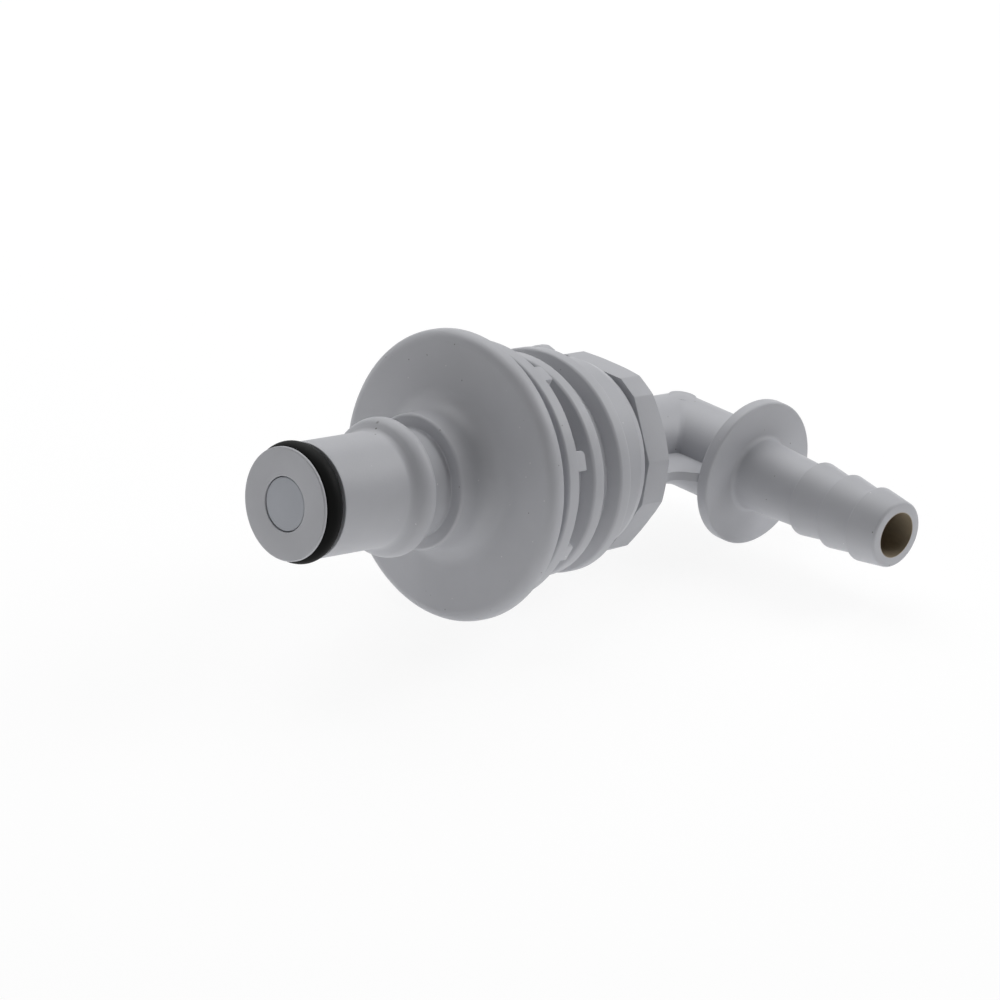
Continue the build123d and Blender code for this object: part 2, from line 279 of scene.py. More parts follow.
# %% [markdown]
# ## The valve
#
# The valve's flat disc lies flush in the nose with a hair of a gap round it. Behind it come a groove for a
# small seal, the head and a long stem. All of them are round, so one open outline is spun about the axis.

# %% Turn the valve
PIN_R, PIN_GROOVE_R, HEAD_R, STEM_R = 2.9, 2.3, 3.9, 1.2
DISC_Y, PIN_END_Y, HEAD_Y, HEAD_BACK_Y, STEM_END_Y = NOSE_Y + 0.1, -22.6, -21.2, -19.8, 3.0
POPPET_OUTLINE = [
    (0, DISC_Y, 0), (PIN_R, DISC_Y, 0.12), (PIN_R, PIN_END_Y, 0.08), (PIN_GROOVE_R, PIN_END_Y, 0.08),
    (PIN_GROOVE_R, HEAD_Y, 0.08), (HEAD_R, HEAD_Y, 0.15), (HEAD_R, HEAD_BACK_Y, 0.15),
    (STEM_R, HEAD_BACK_Y, 0.2), (STEM_R, STEM_END_Y, 0.15), (0, STEM_END_Y, 0),
]
poppet = lathe(draw_profile("valve_disc_and_stem", POPPET_OUTLINE, closed=False), PLAIN_STEPS)

# %% [markdown]
# ## The O-ring
#
# A black rubber ring sits in the groove behind the nose and stands a little proud of the barrel. A small
# circle could be spun. A torus of the same two radii is that shape already, so it is turned and moved.

# %% Shape the O-ring
RING_WIRE, RING_GAP, RING_SIDES = 1.2, 0.03, 40
RING_R = GROOVE_R + RING_GAP + RING_WIRE
RING_Y = (GROOVE_FRONT_Y + GROOVE_BACK_Y) / 2
bpy.ops.object.select_all(action="DESELECT")
bpy.ops.mesh.primitive_torus_add(
    major_radius=RING_R * MM, minor_radius=RING_WIRE * MM,
    major_segments=FINE_STEPS, minor_segments=RING_SIDES,
)
nose_ring = bpy.context.object
nose_ring.name = "nose_o_ring"
bpy.ops.object.mode_set(mode="EDIT")
bpy.ops.transform.rotate(value=math.pi / 2, orient_axis="X", center_override=(0, 0, 0))
bpy.ops.transform.translate(value=(0, RING_Y * MM, 0))
bpy.ops.object.mode_set(mode="OBJECT")
print("nose_o_ring", len(nose_ring.data.polygons), "faces")

# %% [markdown]
# ## The spring behind the valve
#
# A coil stands between the valve's head and the guide, and shuts the valve. It is wound with a Screw
# modifier from one round section of wire.

# %% Wind the spring
WIRE_R, COIL_R, COIL_TURNS = 0.3, 2.75, 9
COIL_FRONT_Y, COIL_BACK_Y = -19.45, 0.25
WIRE_SIDES, TURN_STEPS = 16, 40
bpy.ops.object.select_all(action="DESELECT")
bpy.ops.mesh.primitive_circle_add(vertices=WIRE_SIDES, radius=WIRE_R * MM)
spring = bpy.context.object
spring.name = "valve_coil"
bpy.ops.object.mode_set(mode="EDIT")
bpy.ops.transform.rotate(value=math.pi / 2, orient_axis="Y", center_override=(0, 0, 0))
bpy.ops.transform.translate(value=(0, COIL_FRONT_Y * MM, COIL_R * MM))
bpy.ops.object.mode_set(mode="OBJECT")
wind = spring.modifiers.new("wind", "SCREW")
wind.axis = "Y"
wind.angle = math.tau * COIL_TURNS
wind.screw_offset = (COIL_BACK_Y - COIL_FRONT_Y) * MM
wind.steps = TURN_STEPS * COIL_TURNS
wind.render_steps = wind.steps
apply_modifiers(spring)
bpy.ops.object.mode_set(mode="EDIT")
bpy.ops.mesh.select_all(action="SELECT")
bpy.ops.mesh.fill_holes(sides=0)
bpy.ops.mesh.normals_make_consistent(inside=False)
bpy.ops.object.mode_set(mode="OBJECT")
print("valve_coil", len(spring.data.polygons), "faces")

# %% [markdown]
# ## The elbow's hexagon
#
# Hexagon, spigot, mitred tube, corner web and barb are one moulding, so they are modelled as closed
# shapes and united. The hexagon is a six-sided cylinder. Its corners are trimmed with Bisect, and a spun
# ring with a slanting face turns its back to a shallow cone, as a lathe tool would.

# %% Cut the hexagon
HEX_FRONT_Y, HEX_BACK_Y = 19.0, 22.5
HEX_FLAT, HEX_SIDE, HEX_CORNER = 10.25, 10.425, 11.05
HEX_CONE_R, HEX_CONE_SLOPE = 10.2, math.radians(29)
bpy.ops.object.select_all(action="DESELECT")
bpy.ops.mesh.primitive_cylinder_add(
    vertices=6, radius=HEX_FLAT / math.cos(math.pi / 6) * MM, depth=(HEX_BACK_Y - HEX_FRONT_Y) * MM
)
elbow = bpy.context.object
elbow.name = "elbow_moulding"
bpy.ops.object.mode_set(mode="EDIT")
bpy.ops.transform.rotate(value=math.pi / 6, orient_axis="Z", center_override=(0, 0, 0))
bpy.ops.transform.rotate(value=math.pi / 2, orient_axis="X", center_override=(0, 0, 0))
bpy.ops.transform.translate(value=(0, (HEX_FRONT_Y + HEX_BACK_Y) / 2 * MM, 0))
for corner in range(6):
    angle = math.tau * corner / 6
    outward = Vector((math.cos(angle), 0, math.sin(angle)))
    reach = HEX_SIDE if corner in (0, 3) else HEX_CORNER
    bpy.ops.mesh.select_all(action="SELECT")
    bpy.ops.mesh.bisect(
        plane_co=outward * reach * MM, plane_no=outward, use_fill=True, clear_outer=True
    )
bpy.ops.mesh.select_all(action="SELECT")
bpy.ops.mesh.remove_doubles(threshold=TINY)
bpy.ops.mesh.normals_make_consistent(inside=False)
bpy.ops.object.mode_set(mode="OBJECT")
print("hexagon faces:", len(elbow.data.polygons))

# %% Ease the hexagon's edges and turn its back to a cone
HEX_EASE, CONE_WIDTH, CONE_CLEAR = 0.08, 2.0, 1.0
bpy.ops.object.mode_set(mode="EDIT")
bpy.ops.mesh.select_mode(type="EDGE")
bpy.ops.mesh.select_all(action="SELECT")
bpy.ops.mesh.bevel(offset=HEX_EASE * MM, segments=2, affect="EDGES")
bpy.ops.object.mode_set(mode="OBJECT")
cone_depth = CONE_WIDTH * math.tan(HEX_CONE_SLOPE)
CONE_RING = [
    (HEX_CONE_R, HEX_BACK_Y, 0), (HEX_CONE_R + CONE_WIDTH, HEX_BACK_Y - cone_depth, 0),
    (HEX_CONE_R + CONE_WIDTH, HEX_BACK_Y + CONE_CLEAR, 0), (HEX_CONE_R, HEX_BACK_Y + CONE_CLEAR, 0),
]
combine(elbow, lathe(draw_profile("cone_ring", CONE_RING, closed=True), FINE_STEPS), "DIFFERENCE")

# %% [markdown]
# ## The spigot
#
# In front of the hexagon a plain plug goes into the body's socket, with a groove for an O-ring of its own.
# It could be a stack of cylinders. One turned outline keeps the lead-in, the groove and the shoulder in a
# single closed shape, so that one union joins it.

# %% Turn the spigot that goes into the body
SPIGOT_R, SPIGOT_GROOVE_R, SPIGOT_Y, SPIGOT_LEAD, SHOULDER_R = 7.95, 6.45, 2.2, 0.5, 10.0
SEAL_FRONT_Y, SEAL_BACK_Y, SHOULDER_Y = 8.15, 9.85, HEX_FRONT_Y + 0.3
SPIGOT_OUTLINE = [
    (0, SPIGOT_Y, 0), (SPIGOT_R - SPIGOT_LEAD, SPIGOT_Y, 0), (SPIGOT_R, SPIGOT_Y + SPIGOT_LEAD, 0),
    (SPIGOT_R, SEAL_FRONT_Y, 0), (SPIGOT_GROOVE_R, SEAL_FRONT_Y, 0), (SPIGOT_GROOVE_R, SEAL_BACK_Y, 0),
    (SPIGOT_R, SEAL_BACK_Y, 0), (SPIGOT_R, SHANK_END_Y, 0), (SHOULDER_R, SHANK_END_Y, 0),
    (SHOULDER_R, SHOULDER_Y, 0), (0, SHOULDER_Y, 0),
]
spigot = lathe(draw_profile("spigot", SPIGOT_OUTLINE, closed=False), FINE_STEPS)
combine(elbow, spigot, "UNION")

# %% [markdown]
# ## The mitred tube
#
# The elbow turns with a crisp diagonal edge, because two straight tubes meet there. A bent curve with a
# bevel would give a round elbow. So two cylinders are each cut on the same slanting plane with Bisect and
# left open there, then joined and merged, and the edge where they meet gets a small bevel.

# %% Mitre the two tubes
TUBE_R, ELBOW_Y, MITRE_ROUND = 5.0, 34.9, 0.5
TUBE_START_Y, FAR_LEG_END_X, LEG_OVERRUN = HEX_BACK_Y - 1.5, 12.0, 8
CORNER = Vector((0, ELBOW_Y, 0)) * MM
MITRE = Vector((1, 1, 0)).normalized()


def model_leg(name, start, end, turn, keep_inner):
    """One straight leg of the elbow, cut off on the mitre plane and left open there."""
    bpy.ops.object.select_all(action="DESELECT")
    length = (Vector(end) - Vector(start)).length
    bpy.ops.mesh.primitive_cylinder_add(vertices=PLAIN_STEPS, radius=TUBE_R * MM, depth=length * MM)
    leg = bpy.context.object
    leg.name = name
    bpy.ops.object.mode_set(mode="EDIT")
    bpy.ops.transform.rotate(value=math.pi / 2, orient_axis=turn, center_override=(0, 0, 0))
    bpy.ops.transform.translate(value=(Vector(start) + Vector(end)) / 2 * MM)
    bpy.ops.mesh.select_all(action="SELECT")
    bpy.ops.mesh.bisect(
        plane_co=CORNER, plane_no=MITRE, clear_outer=keep_inner, clear_inner=not keep_inner
    )
    bpy.ops.object.mode_set(mode="OBJECT")
    return leg


near_leg = model_leg("tube", (0, TUBE_START_Y, 0), (0, ELBOW_Y + LEG_OVERRUN, 0), "X", True)
far_leg = model_leg("far_leg", (-LEG_OVERRUN, ELBOW_Y, 0), (FAR_LEG_END_X, ELBOW_Y, 0), "Y", False)
bpy.ops.object.select_all(action="DESELECT")
far_leg.select_set(True)
near_leg.select_set(True)
bpy.context.view_layer.objects.active = near_leg
bpy.ops.object.join()
bpy.ops.object.mode_set(mode="EDIT")
bpy.ops.mesh.select_all(action="SELECT")
bpy.ops.mesh.remove_doubles(threshold=2 * TINY)
bpy.ops.mesh.normals_make_consistent(inside=False)
bpy.ops.mesh.select_non_manifold(extend=False)
bpy.ops.object.mode_set(mode="OBJECT")
print("open edges in the mitre:", sum(edge.select for edge in near_leg.data.edges))

# %% Soften the mitre's edge
bpy.ops.object.mode_set(mode="EDIT")
bpy.ops.mesh.select_mode(type="EDGE")
bpy.ops.mesh.select_all(action="DESELECT")
bpy.ops.object.mode_set(mode="OBJECT")
for edge in near_leg.data.edges:
    ends = [near_leg.data.vertices[number].co for number in edge.vertices]
    edge.select = all(abs((end - CORNER).dot(MITRE)) < TINY for end in ends)
bpy.ops.object.mode_set(mode="EDIT")
bpy.ops.mesh.bevel(offset=MITRE_ROUND * MM, segments=4, affect="EDGES")
bpy.ops.mesh.select_all(action="SELECT")
bpy.ops.mesh.normals_make_consistent(inside=False)
bpy.ops.object.mode_set(mode="OBJECT")
combine(elbow, near_leg, "UNION")
print("elbow with its tube:", len(elbow.data.polygons), "faces")

# %% [markdown]
# ## The pad and the web in the corner
#
# A small round pad flattens the top of the mitred edge, and a thin web stiffens the inside of the corner.
# The pad is a short cylinder. The web is a flat outline with a hollow inner edge, filled and extruded to
# its thickness. Both reach well into the tubes, so that the union is clean.

# %% Add the round pad on top of the corner
PAD_R, PAD_RISE, PAD_DEPTH, PAD_SIDES = 1.55, -0.05, 2.0, 64
bpy.ops.object.select_all(action="DESELECT")
bpy.ops.mesh.primitive_cylinder_add(vertices=PAD_SIDES, radius=PAD_R * MM, depth=PAD_DEPTH * MM)
pad = bpy.context.object
pad.name = "pad"
bpy.ops.object.mode_set(mode="EDIT")
bpy.ops.transform.translate(value=(0, ELBOW_Y * MM, (TUBE_R + PAD_RISE - PAD_DEPTH / 2) * MM))
bpy.ops.object.mode_set(mode="OBJECT")
combine(elbow, pad, "UNION")
print("elbow with its pad:", len(elbow.data.polygons), "faces")

# %% Add the corner web
HOSE_FLANGE_X = 11.2
WEB_THICKNESS, WEB_HOLLOW = 1.0, (9.0, 24.3, 2.5)
WEB_FOOT_X, WEB_FOOT_Y = HEX_CONE_R - 0.1, HEX_BACK_Y - 1.2
WEB_HEAD_X, WEB_HEAD_Y = HOSE_FLANGE_X + 0.4, ELBOW_Y - 8.05
WEB = [
    (WEB_HEAD_X, ELBOW_Y, 0), (0, ELBOW_Y, 0), (0, WEB_FOOT_Y, 0), (WEB_FOOT_X, WEB_FOOT_Y, 0),
    (WEB_FOOT_X, HEX_BACK_Y, 0), WEB_HOLLOW, (HOSE_FLANGE_X, WEB_HEAD_Y, 0), (WEB_HEAD_X, WEB_HEAD_Y, 0),
]
web = draw_profile("web", WEB, closed=True)
bpy.ops.mesh.select_all(action="SELECT")
bpy.ops.mesh.edge_face_add()
bpy.ops.mesh.extrude_region_move(TRANSFORM_OT_translate={"value": (0, 0, WEB_THICKNESS * MM)})
bpy.ops.mesh.select_all(action="SELECT")
bpy.ops.transform.translate(value=(0, 0, -WEB_THICKNESS / 2 * MM))
bpy.ops.mesh.normals_make_consistent(inside=False)
bpy.ops.object.mode_set(mode="OBJECT")
combine(elbow, web, "UNION")
print("elbow with its web:", len(elbow.data.polygons), "faces")

# %% [markdown]
# ## The hose flange and the barb
#
# The hose is pushed over three ridges with steep backs, up to a thin round flange. The ridges could be an
# array of cones. Here they are corners of one outline, written in a loop, and spun about the barb's axis.

# %% Turn the hose flange and the barb
HOSE_FLANGE_R, HOSE_FACE_X = 8.3, 12.7
STEM_R_BASE, BARB_R, ROOT_R = 4.1, 4.3, 3.65
BARB_FIRST_X, BARB_PITCH, BARB_COUNT, BARB_STEPS = 21.35, 4.22, 3, 160
TIP_X, TIP_R, TIP_BORE_R = 33.5, 3.75, 2.57
BARB_OUTLINE = [
    (HOSE_FLANGE_X, ELBOW_Y, 0), (HOSE_FLANGE_X, ELBOW_Y + HOSE_FLANGE_R, 0.25),
    (HOSE_FACE_X, ELBOW_Y + HOSE_FLANGE_R, 0.25), (HOSE_FACE_X, ELBOW_Y + STEM_R_BASE, 0.6),
]
for number in range(BARB_COUNT):
    place = BARB_FIRST_X + number * BARB_PITCH
    BARB_OUTLINE += [(place, ELBOW_Y + ROOT_R, 0.1), (place, ELBOW_Y + BARB_R, 0.15)]
BARB_OUTLINE += [(TIP_X, ELBOW_Y + TIP_R, 0.35), (TIP_X, ELBOW_Y, 0)]
barb = draw_profile("barb", BARB_OUTLINE, closed=False)
lathe(barb, BARB_STEPS, centre=CORNER, axis=(1, 0, 0))
combine(elbow, barb, "UNION")

# %% [markdown]
# ## The waterway
#
# Water runs from the spigot round the corner and out of the barb. Two closed shapes are cut away one after
# the other: a spun plug that narrows from the spigot to the tube and ends in a dome past the corner, and a
# straight cylinder through the barb.

# %% Bore the waterway
SPIGOT_BORE_R, TUBE_BORE_R, OVERRUN = 5.2, 3.0, 1
BORE_OUTLINE = [
    (0, SPIGOT_Y - OVERRUN, 0), (SPIGOT_BORE_R, SPIGOT_Y - OVERRUN, 0),
    (SPIGOT_BORE_R, HEX_BACK_Y - SPIGOT_BORE_R + TUBE_BORE_R, 0), (TUBE_BORE_R, HEX_BACK_Y, 0),
    (TUBE_BORE_R, ELBOW_Y + TUBE_BORE_R, TUBE_BORE_R - 0.1), (0, ELBOW_Y + TUBE_BORE_R, 0),
]
bore = lathe(draw_profile("bore", BORE_OUTLINE, closed=False), PLAIN_STEPS)
combine(elbow, bore, "DIFFERENCE")
barb_length = TIP_X + OVERRUN
bpy.ops.object.select_all(action="DESELECT")
bpy.ops.mesh.primitive_cylinder_add(vertices=PLAIN_STEPS, radius=TIP_BORE_R * MM, depth=barb_length * MM)
barb_bore = bpy.context.object
bpy.ops.object.mode_set(mode="EDIT")
bpy.ops.transform.rotate(value=math.pi / 2, orient_axis="Y", center_override=(0, 0, 0))
bpy.ops.transform.translate(value=(barb_length / 2 * MM, ELBOW_Y * MM, 0))
bpy.ops.object.mode_set(mode="OBJECT")
combine(elbow, barb_bore, "DIFFERENCE")
print("elbow_moulding:", len(elbow.data.polygons), "faces")

# %% [markdown]
# ## Smooth shading, and where each piece belongs
#
# The curved walls are shaded smooth while real edges stay crisp. Then each piece is tied to its body in
# the frame, and says which engineering node it stands for.

# %% Shade and attach the pieces
SMOOTH_ANGLE = math.radians(28)
for piece in (body, poppet, nose_ring, spring, elbow):
    bpy.ops.object.select_all(action="DESELECT")
    bpy.context.view_layer.objects.active = piece
    piece.select_set(True)
    bpy.ops.object.shade_smooth_by_angle(angle=SMOOTH_ANGLE)
for piece, node, rides_on, slot in (
    (body, "insert_body", "body", "moulded_plastic"),
    (elbow, "elbow_barb", "body", "moulded_plastic"),
    (nose_ring, "nose_seal", "body", "seal_rubber"),
    (poppet, "valve_poppet", "valve", "valve_plastic"),
    (spring, "valve_spring", "body", "spring_steel"),
):
    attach(piece, rides_on)
    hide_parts(node)
    print(piece.name, "stands for", node)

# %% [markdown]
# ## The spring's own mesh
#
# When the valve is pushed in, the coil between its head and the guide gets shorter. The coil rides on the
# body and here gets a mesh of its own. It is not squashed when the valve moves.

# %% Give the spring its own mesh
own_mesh(spring)

# %% [markdown]
# ## Finishes
#
# The mouldings are light grey plastic with a satin skin, faint cloudiness and a few stray specks. A
# picture could be wrapped round them. Noise in Object coordinates needs no unwrapping and looks right
# from all sides.

# %% Material tools
def new_material(name):
    """An empty node material with its Principled shader and a texture coordinate."""
    material = bpy.data.materials.new(name)
    material.use_nodes = True
    shader = material.node_tree.nodes["Principled BSDF"]
    place = material.node_tree.nodes.new("ShaderNodeTexCoord")
    return material, material.node_tree.nodes, material.node_tree.links, shader, place


def calculate(nodes, links, operation, first, second):
    """One step of arithmetic on node outputs or numbers."""
    step = nodes.new("ShaderNodeMath")
    step.operation = operation
    for socket, value in zip(step.inputs, (first, second)):
        if isinstance(value, (int, float)):
            socket.default_value = value
        else:
            links.new(value, socket)
    return step.outputs["Value"]


def paint(nodes, links, surface, mask, colour):
    """Lay a colour over the surface where the mask is 1."""
    mix = nodes.new("ShaderNodeMix")
    mix.data_type = "RGBA"
    mix.inputs["B"].default_value = (*colour, 1)
    links.new(mask, mix.inputs["Factor"])
    links.new(surface, mix.inputs["A"])
    return mix.outputs["Result"]


def add_noise(nodes, links, place, scale, detail):
    """A noise in Object coordinates, as a value from 0 to 1."""
    noise = nodes.new("ShaderNodeTexNoise")
    noise.inputs["Scale"].default_value = scale
    noise.inputs["Detail"].default_value = detail
    links.new(place.outputs["Object"], noise.inputs["Vector"])
    return noise.outputs["Fac"]


def shade_of(nodes, links, value, colour, dark, pale, start=0.0, end=1.0):
    """Turn a value into a colour that runs from a darker to a paler shade."""
    ramp = nodes.new("ShaderNodeValToRGB")
    for stop, position, factor in zip(ramp.color_ramp.elements, (start, end), (dark, pale)):
        stop.position = position
        stop.color = (*[c * factor for c in colour], 1)
    links.new(value, ramp.inputs["Fac"])
    return ramp.outputs["Color"]


def roughen(nodes, links, shader, value, low, high):
    """Let a value run the roughness from low to high."""
    rough = nodes.new("ShaderNodeMapRange")
    rough.inputs["To Min"].default_value = low
    rough.inputs["To Max"].default_value = high
    links.new(value, rough.inputs["Value"])
    links.new(rough.outputs["Result"], shader.inputs["Roughness"])


def emboss(nodes, links, shader, value, strength, distance):
    """Let a value stand up from the surface as a fine bump."""
    bump = nodes.new("ShaderNodeBump")
    bump.inputs["Strength"].default_value = strength
    bump.inputs["Distance"].default_value = distance
    links.new(value, bump.inputs["Height"])
    links.new(bump.outputs["Normal"], shader.inputs["Normal"])


print("material tools are ready")

# %% Grey moulded plastic
DARK_SPECK, PALE_SPECK, SPECKLESS = (0.19, 0.185, 0.18), (0.58, 0.58, 0.59), 0.62


def moulded_plastic(name, colour, seed):
    """Satin plastic: cloudy colour, a few dark and pale specks, and a fine grain."""
    material, nodes, links, shader, place = new_material(name)
    cloud = add_noise(nodes, links, place, 110, 4)
    surface = shade_of(nodes, links, cloud, colour, 0.95, 1.04, start=0.3, end=0.7)
    for scale, shift, size, speck in ((600, seed, 0.05, DARK_SPECK), (560, seed + 3, 0.045, PALE_SPECK)):
        moved = nodes.new("ShaderNodeMapping")
        moved.inputs["Location"].default_value = (shift, shift * 0.7, shift * 0.3)
        links.new(place.outputs["Object"], moved.inputs["Vector"])
        cells = nodes.new("ShaderNodeTexVoronoi")
        cells.inputs["Scale"].default_value = scale
        links.new(moved.outputs["Vector"], cells.inputs["Vector"])
        near = calculate(nodes, links, "LESS_THAN", cells.outputs["Distance"], size)
        some = calculate(nodes, links, "GREATER_THAN", cells.outputs["Color"], SPECKLESS)
        surface = paint(nodes, links, surface, calculate(nodes, links, "MULTIPLY", near, some), speck)
    links.new(surface, shader.inputs["Base Color"])
    roughen(nodes, links, shader, cloud, 0.42, 0.58)
    emboss(nodes, links, shader, add_noise(nodes, links, place, 3500, 3), 0.12, 0.06 * MM)
    return material


GREY, VALVE_GREY = (0.42, 0.425, 0.45), (0.37, 0.385, 0.42)
body_plastic = moulded_plastic("light_grey_moulding", GREY, 1.0)
elbow_plastic = moulded_plastic("light_grey_elbow", GREY, 2.0)
valve_plastic = moulded_plastic("light_grey_valve", VALVE_GREY, 4.0)
print("plastics:", body_plastic.name, elbow_plastic.name, valve_plastic.name)

# %% [markdown]
# ## Painted shade in the bore, and traces of use
#
# The hose bore is painted a darker warm brown, a painted shade with the warm tint of light reflected
# inside it, and the latch has left three small dark dents on the bead's ramp. A texture could hold them.
# Here each is a distance in Object coordinates, so each stays in its own place on the part.

# %% Paint shade into the bore and mark the bead
# Painted shade: a darker warm brown in the hose bore stands in for its shade and warm reflected light.
PAINTED_BORE_SHADE, PAINTED_SHADE_R, PAINTED_SHADE_FROM_X = (0.3, 0.25, 0.182), 2.63, 2.0
DENTS = [((-1.27, -12.30, 6.96), 0.3), ((-0.88, -12.91, 6.56), 0.16), ((-0.08, -13.74, 6.30), 0.13)]
DENT_COLOUR = (0.1, 0.095, 0.09)


def repaint(material, make_mask, colour):
    """Paint a colour over a material's base colour, where the mask made for it is 1."""
    nodes, links = material.node_tree.nodes, material.node_tree.links
    base = nodes["Principled BSDF"].inputs["Base Color"]
    surface = base.links[0].from_socket
    mask = make_mask(nodes, links, nodes["Texture Coordinate"].outputs["Object"])
    links.new(paint(nodes, links, surface, mask, colour), base)


def bore_shade_mask(nodes, links, place):
    """1 inside the hose bore, where the shade is painted, 0 outside."""
    split = nodes.new("ShaderNodeSeparateXYZ")
    links.new(place, split.inputs["Vector"])
    across = calculate(nodes, links, "SUBTRACT", split.outputs["Y"], ELBOW_Y * MM)
    wide = calculate(nodes, links, "MULTIPLY", across, across)
    high = calculate(nodes, links, "MULTIPLY", split.outputs["Z"], split.outputs["Z"])
    away = calculate(nodes, links, "ADD", wide, high)
    inside = calculate(nodes, links, "LESS_THAN", away, (PAINTED_SHADE_R * MM) ** 2)
    beyond = calculate(nodes, links, "GREATER_THAN", split.outputs["X"], PAINTED_SHADE_FROM_X * MM)
    return calculate(nodes, links, "MULTIPLY", inside, beyond)


def dent_mask(middle, size):
    """A mask that fades from 1 in the middle of a dent to 0 at its edge."""
    def make(nodes, links, place):
        away = nodes.new("ShaderNodeVectorMath")
        away.operation = "DISTANCE"
        away.inputs[1].default_value = [value * MM for value in middle]
        links.new(place, away.inputs[0])
        fade = nodes.new("ShaderNodeMapRange")
        fade.inputs["From Min"].default_value = size * MM
        fade.inputs["From Max"].default_value = size * 0.4 * MM
        links.new(away.outputs["Value"], fade.inputs["Value"])
        return fade.outputs["Result"]
    return make


# The bore's brown is painted shade with a warm reflected tint, not a stain.
repaint(elbow_plastic, bore_shade_mask, PAINTED_BORE_SHADE)
for middle, size in DENTS:
    repaint(body_plastic, dent_mask(middle, size), DENT_COLOUR)
print("dents:", len(DENTS))

# %% [markdown]
# ## Rubber and spring wire
#
# The seals are dull black rubber with hardly any shine, and the spring is drawn steel wire. Flat colours
# would do from afar. One fine noise that drives colour, roughness and bump keeps them from looking painted.

# %% Black rubber and spring wire
RUBBER_BLACK, RUBBER_SHINE, WIRE_STEEL = (0.0025, 0.0027, 0.0026), 0.08, (0.6, 0.6, 0.61)
ROUGH_SPREAD = 0.08


def simple_grain(name, colour, roughness, scale, metallic=0.0):
    """A finish with a fine grain in its colour, its roughness and its bump."""
    material, nodes, links, shader, place = new_material(name)
    shader.inputs["Metallic"].default_value = metallic
    grain = add_noise(nodes, links, place, scale, 5)
    links.new(shade_of(nodes, links, grain, colour, 0.8, 1.25), shader.inputs["Base Color"])
    roughen(nodes, links, shader, grain, roughness - ROUGH_SPREAD, roughness + ROUGH_SPREAD)
    emboss(nodes, links, shader, grain, 0.15, 0.04 * MM)
    return material


rubber = simple_grain("black_rubber", RUBBER_BLACK, 0.55, 1800)
rubber.node_tree.nodes["Principled BSDF"].inputs["Specular IOR Level"].default_value = RUBBER_SHINE
spring_wire = simple_grain("spring_wire", WIRE_STEEL, 0.28, 900, metallic=1.0)
print("other finishes:", rubber.name, spring_wire.name)

# %% Dress the pieces
def dress(thing, material):
    """Give a piece or a node one finish."""
    thing.data.materials.clear()
    thing.data.materials.append(material)


dress(body, body_plastic)
dress(elbow, elbow_plastic)
dress(poppet, valve_plastic)
dress(nose_ring, rubber)
dress(spring, spring_wire)
for node, material in (
    ("insert_body", body_plastic), ("elbow_barb", elbow_plastic), ("valve_poppet", valve_plastic),
    ("nose_seal", rubber), ("valve_seal", rubber), ("elbow_seal", rubber),
    ("valve_guide", valve_plastic), ("valve_spring", spring_wire),
):
    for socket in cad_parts[node].material_slots:
        socket.material = material
print("dressed", len(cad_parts), "nodes")

# %% [markdown]
# ## The floor
#
# The fitting lies on a white table, tipped so that the flange and the hose flange both touch it. The
# table is lit from below as in a light tent, so undersides are bright and the side towards the camera is
# the darkest. The background is white for the camera alone, and the light on the plastic stays plain.

# %% Lay the floor
FLOOR_LEAN, FLOOR_TILT, FLOOR_R = 0.006, 0.2226, 0.5
FLOOR_POINT = Vector((0, 0, -16.25)) * MM
floor_up = Vector((FLOOR_LEAN, -FLOOR_TILT, 1)).normalized()
bpy.ops.object.select_all(action="DESELECT")
bpy.ops.mesh.primitive_circle_add(vertices=PLAIN_STEPS, radius=FLOOR_R, fill_type="NGON")
floor = bpy.context.object
floor.name = "floor"
lean = floor_up.to_track_quat("Z", "Y").to_matrix().to_4x4()
floor.matrix_world = Matrix.Translation(FLOOR_POINT) @ lean
print("floor up:", tuple(round(value, 3) for value in floor_up))

# %% Make the table white
TABLE_WHITE, TABLE_GLOW, SHADOW_WHITE, BACKDROP_GLOW = 0.85, 0.58, 0.12, 0.9


def white_to_camera(nodes, links, base, bright):
    """Mix in a bright version for camera, mirror and glass rays, over the plain version for light."""
    rays = nodes.new("ShaderNodeLightPath").outputs
    seen = calculate(nodes, links, "MAXIMUM", rays["Is Camera Ray"], rays["Is Glossy Ray"])
    seen = calculate(nodes, links, "MAXIMUM", seen, rays["Is Transmission Ray"])
    mix = nodes.new("ShaderNodeMixShader")
    links.new(seen, mix.inputs["Fac"])
    links.new(base, mix.inputs[1])
    links.new(bright, mix.inputs[2])
    return mix.outputs["Shader"]


def glowing(nodes, links, base, strength):
    """A shader with some light of its own added."""
    glow = nodes.new("ShaderNodeEmission")
    glow.inputs["Strength"].default_value = strength
    lifted = nodes.new("ShaderNodeAddShader")
    links.new(base, lifted.inputs[0])
    links.new(glow.outputs["Emission"], lifted.inputs[1])
    return lifted.outputs["Shader"]


table, nodes, links, shader, place = new_material("white_table")
shader.inputs["Base Color"].default_value = (TABLE_WHITE, TABLE_WHITE, TABLE_WHITE, 1)
shader.inputs["Roughness"].default_value = 0.9
faint = nodes.new("ShaderNodeBsdfDiffuse")
faint.inputs["Color"].default_value = (SHADOW_WHITE, SHADOW_WHITE, SHADOW_WHITE, 1)
lit_table = glowing(nodes, links, shader.outputs["BSDF"], TABLE_GLOW)
white_table = glowing(nodes, links, faint.outputs["BSDF"], BACKDROP_GLOW)
table_surface = white_to_camera(nodes, links, lit_table, white_table)
links.new(table_surface, nodes["Material Output"].inputs["Surface"])
dress(floor, table)
print("table:", table.name)

# %% [markdown]
# ## Light
#
# A product photo is lit by a few big soft boxes. One hangs above, one stands at either side and one in
# front, each placed as the camera sees it. A sky picture could do the same, but four square lamps are
# easier to move. The world adds a little light of its own and is white only where the camera sees it.

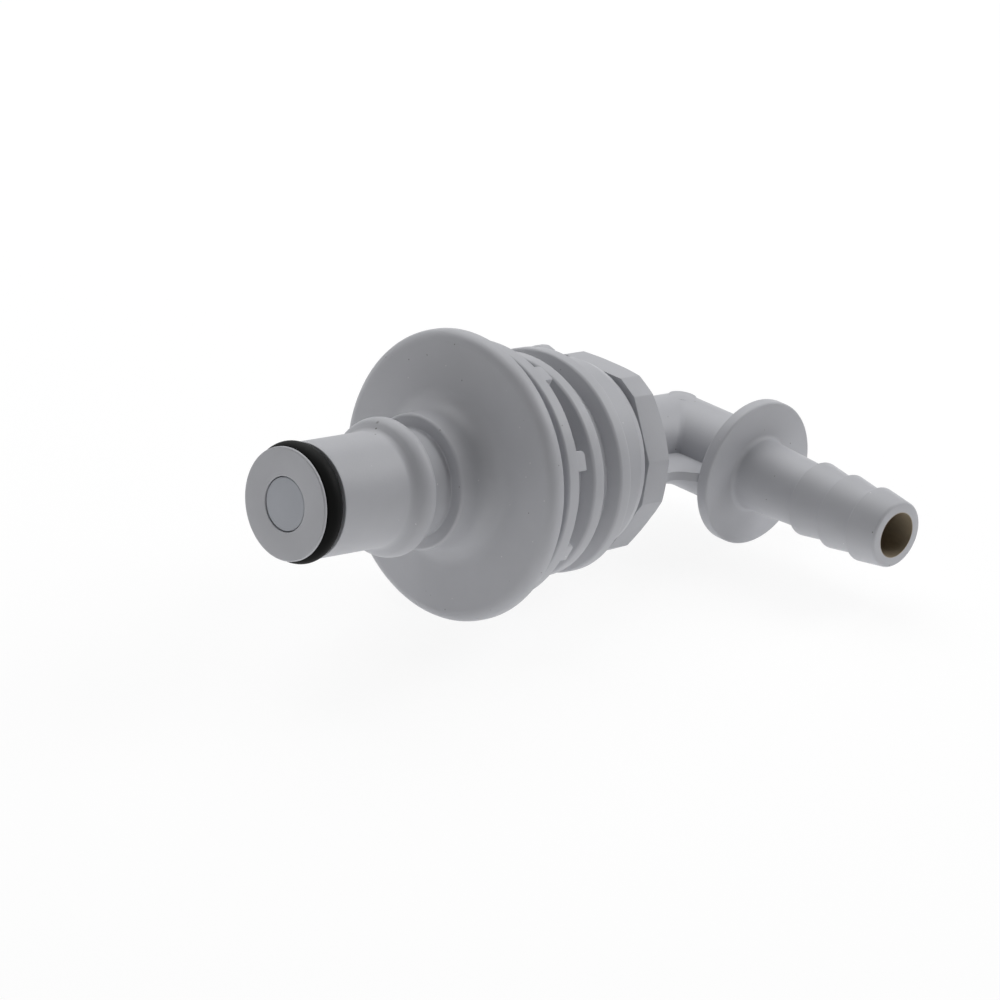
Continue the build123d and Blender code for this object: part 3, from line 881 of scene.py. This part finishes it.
# %% Set the world
world = bpy.data.worlds.new("studio")
bpy.context.scene.world = world
world.use_nodes = True
nodes, links = world.node_tree.nodes, world.node_tree.links
soft = nodes["Background"]
soft.inputs["Color"].default_value = (0.97, 0.98, 1.0, 1)
soft.inputs["Strength"].default_value = 0.04
white = nodes.new("ShaderNodeBackground")
white.inputs["Strength"].default_value = 1.0
links.new(
    white_to_camera(nodes, links, soft.outputs["Background"], white.outputs["Background"]),
    nodes["World Output"].inputs["Surface"],
)
print("world:", world.name)

# %% Set the lamps
CAMERA_RIGHT = Vector((0.7002281, 0.69768031, 0.15140275))
CAMERA_UP = Vector((-0.32614941, 0.12396975, 0.93715424))
CAMERA_BACK = Vector((0.63506469, -0.70560165, 0.31435513))
MIDDLE = Vector((6, 8, 0)) * MM
LAMPS = [
    ("lamp_above", -0.05, 0.45, -0.05, 0.45, 1.45),
    ("lamp_left", -0.45, 0.1, -0.1, 0.4, 0.3),
    ("lamp_right", 0.39, 0.33, 0.03, 0.3, 1.25),
    ("lamp_front", -0.35, 0.1, 0.35, 0.3, 0.24),
]


def add_lamp(name, right, up, back, size, power):
    """A square soft lamp, placed in metres from the fitting as the camera sees it."""
    bpy.ops.object.select_all(action="DESELECT")
    place = MIDDLE + CAMERA_RIGHT * right + CAMERA_UP * up + CAMERA_BACK * back
    bpy.ops.object.light_add(type="AREA", location=place)
    lamp = bpy.context.object
    lamp.name = name
    lamp.data.size = size
    lamp.data.energy = power
    lamp.rotation_euler = (place - MIDDLE).to_track_quat("Z", "Y").to_euler()


for lamp_values in LAMPS:
    add_lamp(*lamp_values)

# %% [markdown]
# ## The camera
#
# The photo was taken from a little above, in front of the nose and the barb, through a long lens, so that
# the round edges are nearly plain ellipses. The camera's three axes and its place are given as numbers,
# because they were fitted to those edges.

# %% Place the camera
CAMERA_PLACE = Vector((417.345, -456.269, 202.644)) * MM
camera_data = bpy.data.cameras.new("camera")
camera = bpy.data.objects.new("camera", camera_data)
bpy.context.scene.collection.objects.link(camera)
camera_data.sensor_width = 36
camera_data.lens = 216
camera_data.clip_start = 0.01
turn = Matrix((CAMERA_RIGHT, CAMERA_UP, CAMERA_BACK)).transposed()
camera.matrix_world = Matrix.Translation(CAMERA_PLACE) @ turn.to_4x4()
bpy.context.scene.camera = camera
bpy.context.scene.view_settings.view_transform = "Standard"
print("camera lens:", camera_data.lens)
